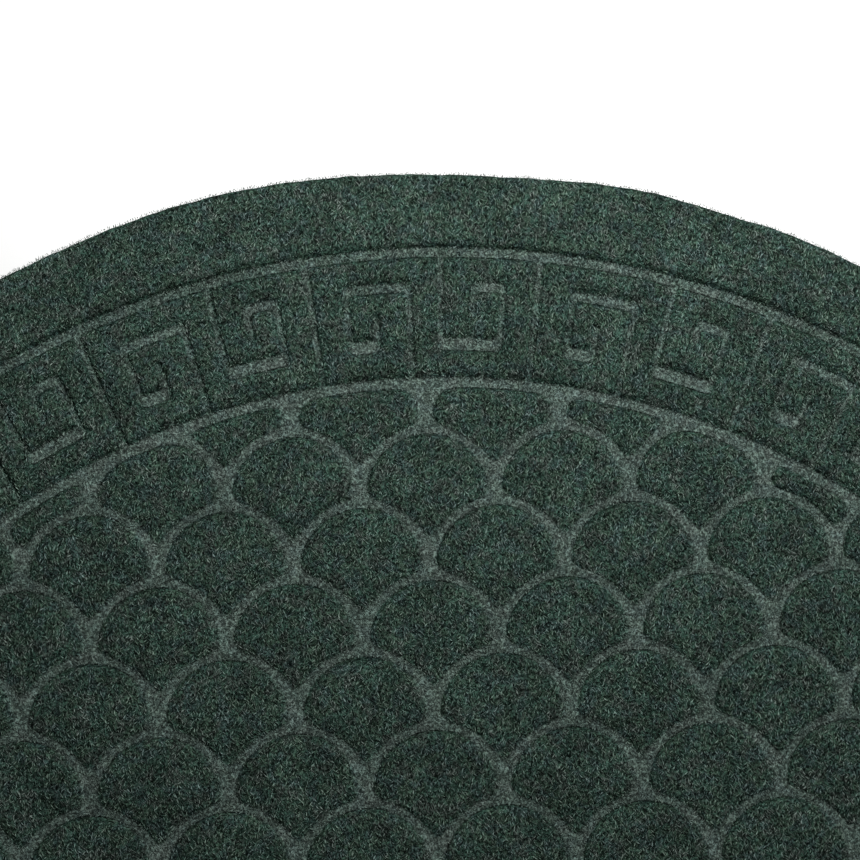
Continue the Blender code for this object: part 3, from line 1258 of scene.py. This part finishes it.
@dataclass
class FeltGroups:
    """The shader effects that the felt's finishes share, with the noises that they are made of."""

    olive: Patches = Patches(170, levels=(0.40, 0.60), results=(0.0, 1.0))
    brown: Patches = Patches(140, levels=(0.50, 0.62), results=(0.0, 0.9), offset=1.7)
    blue: Patches = Patches(160, levels=(0.52, 0.64), results=(0.0, 0.9), offset=3.1)
    clouds: Patches = Patches(75, levels=(0.34, 0.66), results=(0.84, 1.16), detail=3.0, offset=4.4)
    # How hard the press bit, and how far the ragged edge of the pressed lines shifts to and fro
    firmness: Patches = Patches(38, levels=(0.34, 0.62), results=(0.84, 1.06), offset=2.7)
    noise_middle: float = 0.5
    ragged_waves: float = 650
    ragged_offset: float = 0.9
    ragged: float = 0.8
    pressed_levels: Span = (0.1, 0.9)
    # The two ways that the fibres run: the offset of each, and how it is drawn out
    fibre_ways: tuple[tuple[float, Place], ...] = ((0.4, (1.0, 0.5, 1.0)), (2.3, (0.7, 0.9, 1.0)))
    fibre_waves: float = 900
    fibre_bend: float = 0.7
    fibre_width: float = 0.10
    fibre_light: Patches = Patches(620, levels=(0.35, 0.65), results=(0.15, 1.2), detail=1.0, offset=1.1)

    def __post_init__(self) -> None:
        """Makes the node groups."""
        self.melange = self.make_melange()
        self.pressed = self.make_pressed()
        self.fibres = self.make_fibres()

    def new_group(self, name: str, inputs: Sequence[str], output: str,
                  kind: str) -> tuple[NodeTree, Node]:
        """Makes an empty node group with its sockets.

        Args:
            name: the group's name.
            inputs: the names of the colours that it takes in.
            output: the name of what it puts out.
            kind: the type of that.

        Returns:
            A helper for its nodes, and its output node.
        """
        group = bpy.data.node_groups.new(name, "ShaderNodeTree")
        for label in inputs:
            group.interface.new_socket(label, in_out="INPUT", socket_type="NodeSocketColor")
        group.interface.new_socket(output, in_out="OUTPUT", socket_type=kind)
        nodes = NodeTree(group)
        return nodes, nodes.add("NodeGroupOutput")

    def make_melange(self) -> ShaderNodeTree:
        """Makes the blend of dyed fibres: patches that lean to one or other of four hues.

        Returns:
            The group.
        """
        hues = ("Teal", "Olive", "Brown", "Blue")
        nodes, put = self.new_group("felt melange", hues, "Colour", "NodeSocketColor")
        given = nodes.add("NodeGroupInput").outputs
        shade = given["Teal"]
        for hue, patches in zip(hues[1:], (self.olive, self.brown, self.blue)):
            shade = nodes.mixed(nodes.patches(patches), shade, given[hue])
        nodes.feed(put, {"Colour": nodes.mixed(1.0, shade, nodes.patches(self.clouds), blend="MULTIPLY")})
        return nodes.tree

    def make_pressed(self) -> ShaderNodeTree:
        """Makes the mask of the pressed lines, with a ragged edge, and the painted light and shade beside
        them.

        Returns:
            The group.
        """
        nodes, put = self.new_group("pressed lines", (), "Mask", "NodeSocketFloat")
        wave = nodes.noise(self.ragged_waves, 1.0, self.ragged_offset)
        uneven = nodes.math("SUBTRACT", wave, self.noise_middle)
        firm = nodes.math("MULTIPLY", nodes.mark("pressed"), nodes.patches(self.firmness))
        level = nodes.math("ADD", firm, nodes.math("MULTIPLY", uneven, self.ragged))
        nodes.feed(put, {"Mask": nodes.ranged(level, self.pressed_levels, (0.0, 1.0))})
        return nodes.tree

    def make_fibres(self) -> ShaderNodeTree:
        """Makes thin curved fibres: the ridges of two noises, each drawn out its own way.

        Returns:
            The group.
        """
        nodes, put = self.new_group("felt fibres", (), "Value", "NodeSocketFloat")
        ridges = []
        for offset, stretch in self.fibre_ways:
            wave = nodes.noise(self.fibre_waves, 1.0, offset, self.fibre_bend, stretch)
            away = nodes.math("ABSOLUTE", nodes.math("SUBTRACT", wave, self.noise_middle))
            ridge = nodes.ranged(away, (0.0, self.fibre_width), (1.0, 0.0))
            ridges.append(nodes.math("MULTIPLY", ridge, nodes.patches(self.fibre_light, offset)))
        nodes.feed(put, {"Value": nodes.math("MAXIMUM", *ridges)})
        return nodes.tree


@dataclass(frozen=True)
class FeltFinish:
    """Dyed felt of blended fibres: its patches' hues, and how much lighter pressing and painted light make
    it.
    """

    name: str
    teal: Colour
    olive: Colour
    brown: Colour
    blue: Colour
    pressed: Colour
    roughness: float
    shine: float
    # Whether each strand has a tint of its own
    tinted: bool
    # How far the hues of the pressed lines are drawn to teal
    evened: float = 0.7
    # The sheet's own fibres: painted light on them and painted shade in the gaps between them, and how far
    # pressing calms both
    fine: Patches = Patches(2300, levels=(0.38, 0.62), results=(0.05, 0.90), detail=1.0, distortion=0.6)
    gap_shade: Patches = Patches(950, levels=(0.36, 0.60), results=(0.40, 1.20), detail=1.0, offset=5.2)
    fibre_gain: float = 2.5
    calm: float = 0.15
    calm_tint: Colour = (1.1, 1.1, 1.1)
    bump: float = 0.6
    bump_height: float = 0.25 * MM

    def material(self, groups: FeltGroups) -> Material:
        """Makes the finish's material.

        Args:
            groups: the shared effects.

        Returns:
            The material.
        """
        made = bpy.data.materials.new(self.name)
        made.use_nodes = True
        nodes = NodeTree(made.node_tree)
        shader = made.node_tree.nodes["Principled BSDF"]
        hues = {"Teal": self.teal, "Olive": self.olive, "Brown": self.brown, "Blue": self.blue}
        colours = {hue: rgba(colour) for hue, colour in hues.items()}
        blend = nodes.add("ShaderNodeGroup", node_tree=groups.melange)
        nodes.feed(blend, colours)
        mask = nodes.add("ShaderNodeGroup", node_tree=groups.pressed).outputs["Mask"]
        even = nodes.mixed(self.evened, blend.outputs["Colour"], colours["Teal"])
        lighter = nodes.mixed(1.0, even, rgba(self.pressed), blend="MULTIPLY")
        shade = nodes.mixed(mask, blend.outputs["Colour"], lighter)
        if self.tinted:
            tint = nodes.mark("tint")
        else:
            # Painted light on the sheet's own fibres and painted shade in the gaps between them, calmer on
            # the pressed lines
            fibres = nodes.add("ShaderNodeGroup", node_tree=groups.fibres).outputs["Value"]
            ridges = nodes.math("MULTIPLY", fibres, self.fibre_gain)
            lit = nodes.math("ADD", nodes.patches(self.fine), ridges)
            lit = nodes.math("MULTIPLY", lit, nodes.patches(self.gap_shade))
            tint = nodes.mixed(nodes.math("MULTIPLY", mask, self.calm), lit, rgba(self.calm_tint))
            bump = {"Height": fibres, "Strength": self.bump, "Distance": self.bump_height}
            nodes.feed(shader, {"Normal": nodes.add("ShaderNodeBump", bump).outputs[0]})
        shade = nodes.mixed(1.0, shade, tint, blend="MULTIPLY")
        surface = {"Base Color": shade, "Roughness": self.roughness, "Specular IOR Level": self.shine}
        nodes.feed(shader, surface)
        return made


# The sheet under the nap is the same felt painted much darker: painted shade, the colour of the shade
# between the strands, made paler again on the pressed lines
BODY_FELT_IN_PAINTED_SHADE = FeltFinish(
    "felt body in painted shade", teal=(0.0134, 0.0274, 0.0210), olive=(0.0150, 0.0272, 0.0195),
    brown=(0.0173, 0.0260, 0.0214), blue=(0.0142, 0.0260, 0.0231), pressed=(3.65, 2.60, 2.95),
    roughness=0.95, shine=0.02, tinted=False,
)
NAP_FELT = FeltFinish(
    "felt nap", teal=(0.067, 0.103, 0.087), olive=(0.072, 0.102, 0.082), brown=(0.080, 0.098, 0.088),
    blue=(0.070, 0.099, 0.094), pressed=(1.32, 1.18, 1.20), roughness=0.9, shine=0.12, tinted=True,
)


@dataclass(frozen=True)
class Softbox:
    """A soft light: where it hangs, what it is aimed at, its width and height, and its power in watts."""

    name: str
    place: Place
    towards: Place
    size: Span
    power: float

    def hang(self) -> None:
        """Hangs the light and aims it."""
        data = bpy.data.lights.new(self.name, "AREA")
        data.shape = "RECTANGLE"
        data.size, data.size_y = self.size
        data.energy = self.power
        light = placed(bpy.data.objects.new(self.name, data))
        light.location = self.place
        aim = Vector(self.towards) - Vector(self.place)
        light.rotation_euler = aim.to_track_quat("-Z", "Y").to_euler()
        light.visible_camera = False


@dataclass
class Studio:
    """The plain floor, the soft lights and the camera."""

    # The height of the mat's face, and the spot on it that the camera is aimed at
    face: float
    aim: Span = (2.0 * MM, 85.1 * MM)
    distance: float = 0.706
    tilt: float = math.radians(8)
    turn: float = math.radians(1.55)
    lens: float = 76.65
    sensor: float = 36
    nearest: float = 0.01
    floor_size: float = 8.0
    floor_drop: float = 0.2 * MM
    floor_colour: Colour = (0.86, 0.86, 0.855)
    floor_roughness: float = 0.9
    floor_shine: float = 0.1
    sky: float = 0.07
    key_light: Softbox = Softbox("key light", (0.10, 0.352, 0.39), (-0.018, 0.053, 0), (0.4, 0.3), 4.1)
    fill_light: Softbox = Softbox("fill light", (0.2, 0.15, 1.5), (0.0, 0.05, 0), (1.2, 1.2), 1.0)

    def add_floor(self) -> None:
        """Makes the floor that the mat lies on."""
        mesh = bmesh.new()
        bmesh.ops.create_grid(mesh, x_segments=1, y_segments=1, size=self.floor_size / 2)
        bmesh.ops.translate(mesh, vec=(0, 0, -self.floor_drop), verts=mesh.verts)
        data = bpy.data.meshes.new("floor")
        mesh.to_mesh(data)
        mesh.free()
        made = bpy.data.materials.new("pale floor")
        made.use_nodes = True
        inputs = made.node_tree.nodes["Principled BSDF"].inputs
        inputs["Base Color"].default_value = rgba(self.floor_colour)
        inputs["Roughness"].default_value = self.floor_roughness
        inputs["Specular IOR Level"].default_value = self.floor_shine
        data.materials.append(made)
        floor = placed(bpy.data.objects.new("floor", data))
        floor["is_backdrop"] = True

    def add_world(self) -> None:
        """Lights the scene evenly from all round."""
        world = bpy.data.worlds.new("studio")
        world.use_nodes = True
        inputs = world.node_tree.nodes["Background"].inputs
        inputs["Color"].default_value = rgba((1.0, 1.0, 1.0))
        inputs["Strength"].default_value = self.sky
        bpy.context.scene.world = world

    def add_camera(self) -> None:
        """Sets the camera nearly straight over the mat, tipped a little from the straight side."""
        up = Vector((math.sin(self.turn), math.cos(self.turn), 0))
        back = Vector((0, 0, 1)) * math.cos(self.tilt) - up * math.sin(self.tilt)
        right = up.cross(back).normalized()
        data = bpy.data.cameras.new("camera")
        data.lens = self.lens
        data.sensor_width = self.sensor
        data.clip_start = self.nearest
        camera = placed(bpy.data.objects.new("camera", data))
        turned = Matrix((right, back.cross(right), back)).transposed().to_4x4()
        place = Vector((*self.aim, self.face)) + back * self.distance
        camera.matrix_world = Matrix.Translation(place) @ turned
        bpy.context.scene.camera = camera

    def build(self) -> None:
        """Sets up the whole studio."""
        self.add_floor()
        self.key_light.hang()
        self.fill_light.hang()
        self.add_world()
        self.add_camera()
        bpy.context.scene.view_settings.view_transform = "Standard"


def main() -> None:
    """Builds the sheet, its nap and the studio round them, and logs each piece's triangles."""
    logging.basicConfig(level=logging.INFO, format="%(asctime)s %(name)s: %(message)s")
    low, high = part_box(NODE)
    groups = FeltGroups()
    sheet = FeltSheet(low, high)
    mesh = sheet.build()
    ground = Ground(mesh, high.z)
    cloth = sheet.piece(mesh, BODY_FELT_IN_PAINTED_SHADE.material(groups))
    finish = NAP_FELT.material(groups)
    naps = Nap(sheet).pieces(ground, finish)
    naps.append(EdgeFuzz(sheet).strands().piece("nap_edge", finish))
    for piece in (cloth, *naps):
        triangles = sum(len(face.vertices) - 2 for face in piece.data.polygons)
        log.info("%s: %d triangles", piece.name, triangles)

    Studio(high.z).build()
    boxes = [[list(corner) for corner in box] for box in (CAD_BOX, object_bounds())]


if __name__ == "__main__":
    main()
